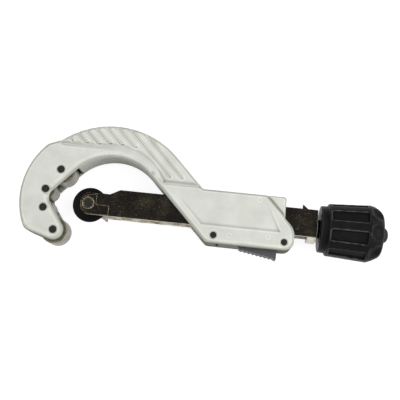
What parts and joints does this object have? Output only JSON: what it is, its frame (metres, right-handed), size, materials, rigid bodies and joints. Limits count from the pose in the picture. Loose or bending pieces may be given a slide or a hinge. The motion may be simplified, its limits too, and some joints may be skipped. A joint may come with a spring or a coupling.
{
  "type": "quick-adjust plastic tube cutter",
  "caption": "Quick-adjust cutter for plastic tube: white ribbed C-frame with rollers, a steel slide with the cutting wheel, a release lever and a black feed knob.",
  "frame": {"origin": "centre of the largest tube, seated on the two outer rollers, in the frame's mid-plane", "axes": "+X along the feed axis from the jaw to the knob, +Y from the release lever's side to the handle's top, +Z along the tube and out of the front cheek, up when the tool lies on its back"},
  "size_m": [0.3035, 0.1019, 0.0472],
  "materials": {
    "white_paint": "satin",
    "roller_steel": "satin",
    "plated_steel": "satin",
    "bright_steel": "satin",
    "black_steel": "satin",
    "black_plastic": "matte",
    "lever_plastic": "matte",
    "nut_brass": "satin"
  },
  "bodies": {
    "frame": {"frame": "white_paint", "upper_outer_pin": "black_steel", "upper_inner_pin": "black_steel", "lower_inner_pin": "black_steel", "lower_outer_pin": "black_steel", "lever_pivot_pin": "black_steel", "rear_cheek_pin": "black_steel", "lever_spring": "bright_steel"},
    "slide": {"slide_channel": "plated_steel", "pin_keeper": "plated_steel", "wheel_pin": "black_steel", "wheel_spacers": "bright_steel", "screw_saddle": "bright_steel", "bearing_block": "bright_steel", "block_rivets": "bright_steel"},
    "knob": {"feed_screw": "bright_steel", "thrust_washer": "bright_steel", "knob": "black_plastic", "nut_washer": "bright_steel", "knob_nut": "black_steel"},
    "wheel": {"cutting_wheel": "black_steel"},
    "lever": {"thumb_lever": "lever_plastic", "half_nut": "nut_brass"},
    "upper_outer_roller": {"upper_outer_roller": "roller_steel"},
    "upper_inner_roller": {"upper_inner_roller": "roller_steel"},
    "lower_inner_roller": {"lower_inner_roller": "roller_steel"},
    "lower_outer_roller": {"lower_outer_roller": "roller_steel"}
  },
  "joints": [
    {"name": "slide_travel", "type": "slide", "parent": "frame", "child": "slide", "axis": [1, 0, 0], "range_m": [-0.0126, 0.0684]},
    {"name": "knob_turn", "type": "hinge", "parent": "slide", "child": "knob", "pos_m": [0.196, -0.0006, 0], "axis": [1, 0, 0], "range_deg": [-1520, 8216]},
    {"name": "wheel_spin", "type": "hinge", "parent": "slide", "child": "wheel", "pos_m": [-0.0165, 0, 0], "axis": [0, 0, 1], "continuous": true},
    {"name": "lever_press", "type": "hinge", "parent": "frame", "child": "lever", "pos_m": [0.0883, -0.0162, 0], "axis": [0, 0, 1], "range_deg": [0, 8], "stiffness_Nm_per_rad": 0.35, "springref_deg": -11.46, "deforming": ["lever_spring"]},
    {"name": "upper_outer_spin", "type": "hinge", "parent": "frame", "child": "upper_outer_roller", "pos_m": [-0.04157, 0.02498, 0], "axis": [0, 0, 1], "continuous": true},
    {"name": "upper_inner_spin", "type": "hinge", "parent": "frame", "child": "upper_inner_roller", "pos_m": [-0.05214, 0.0077, 0], "axis": [0, 0, 1], "continuous": true},
    {"name": "lower_inner_spin", "type": "hinge", "parent": "frame", "child": "lower_inner_roller", "pos_m": [-0.05214, -0.0077, 0], "axis": [0, 0, 1], "continuous": true},
    {"name": "lower_outer_spin", "type": "hinge", "parent": "frame", "child": "lower_outer_roller", "pos_m": [-0.04157, -0.02498, 0], "axis": [0, 0, 1], "continuous": true}
  ],
  "couplings": [
    {"joint": "knob_turn", "follows": "slide_travel", "rad_per_m": 2094.4}
  ]
}
